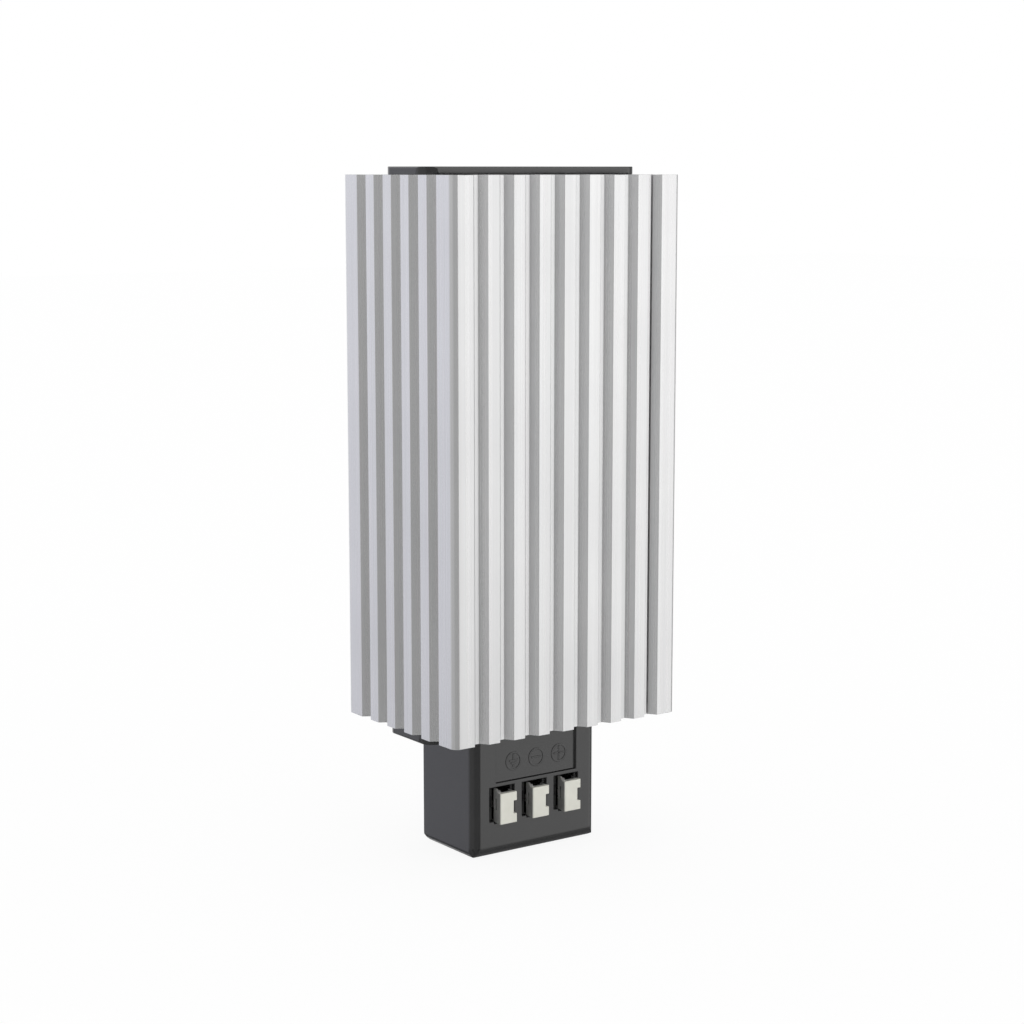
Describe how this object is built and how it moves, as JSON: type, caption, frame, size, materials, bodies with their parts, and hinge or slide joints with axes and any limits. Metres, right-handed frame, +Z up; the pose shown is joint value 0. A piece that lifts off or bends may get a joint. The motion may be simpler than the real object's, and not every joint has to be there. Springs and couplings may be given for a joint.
{
  "type": "enclosure heater",
  "caption": "Rail-mounted enclosure heater: ribbed anodised aluminium extrusion with a heating pack in its core, black end cap, and a terminal housing with press-to-open wire clamps.",
  "frame": {"origin": "middle of the rail seat on the back of the clip, where the rail's front face lies", "axes": "+X to the right seen from the front and along the rail, +Y from the heater towards the rail, +Z up along the extrusion"},
  "size_m": [0.07, 0.0588, 0.1765],
  "materials": {
    "anodised_aluminium": "natural satin anodised extrusion",
    "black_plastic": "fine semi-gloss moulding",
    "ivory_plastic": "satin moulding",
    "spring_steel": "bright rolled strip",
    "zinc_steel": "zinc plated",
    "steel": "plain plated",
    "heating_ceramic": "sintered, metallised faces",
    "amber_film": "polyimide film",
    "tinned_brass": "tin plated",
    "green_yellow_insulation": "wire insulation",
    "blue_insulation": "wire insulation",
    "brown_insulation": "wire insulation"
  },
  "bodies": {
    "heater": {"heat_sink": "anodised_aluminium", "top_cap": "black_plastic", "top_cap_screws": "steel", "terminal_housing": "black_plastic", "housing_screws": "steel", "heating_elements": "heating_ceramic", "front_electrode": "tinned_brass", "rear_electrode": "tinned_brass", "insulating_sleeve": "amber_film", "earth_screw": "steel", "earth_tag": "tinned_brass", "earth_lead": "green_yellow_insulation", "neutral_lead": "blue_insulation", "live_lead": "brown_insulation", "earth_contact": "tinned_brass", "neutral_contact": "tinned_brass", "live_contact": "tinned_brass", "earth_spring": "spring_steel", "neutral_spring": "spring_steel", "live_spring": "spring_steel", "rail_clip": "zinc_steel", "clip_rivets": "steel"},
    "earth_release": {"earth_stirrup": "spring_steel", "earth_lever": "ivory_plastic"},
    "neutral_release": {"neutral_stirrup": "spring_steel", "neutral_lever": "ivory_plastic"},
    "live_release": {"live_stirrup": "spring_steel", "live_lever": "ivory_plastic"}
  },
  "joints": [
    {"name": "earth_press", "type": "slide", "parent": "heater", "child": "earth_release", "axis": [0, 1, 0], "range_m": [0, 0.0011], "stiffness_N_per_m": 4000, "springref_m": -0.002, "deforming": ["earth_spring"]},
    {"name": "neutral_press", "type": "slide", "parent": "heater", "child": "neutral_release", "axis": [0, 1, 0], "range_m": [0, 0.0011], "stiffness_N_per_m": 4000, "springref_m": -0.002, "deforming": ["neutral_spring"]},
    {"name": "live_press", "type": "slide", "parent": "heater", "child": "live_release", "axis": [0, 1, 0], "range_m": [0, 0.0011], "stiffness_N_per_m": 4000, "springref_m": -0.002, "deforming": ["live_spring"]}
  ]
}
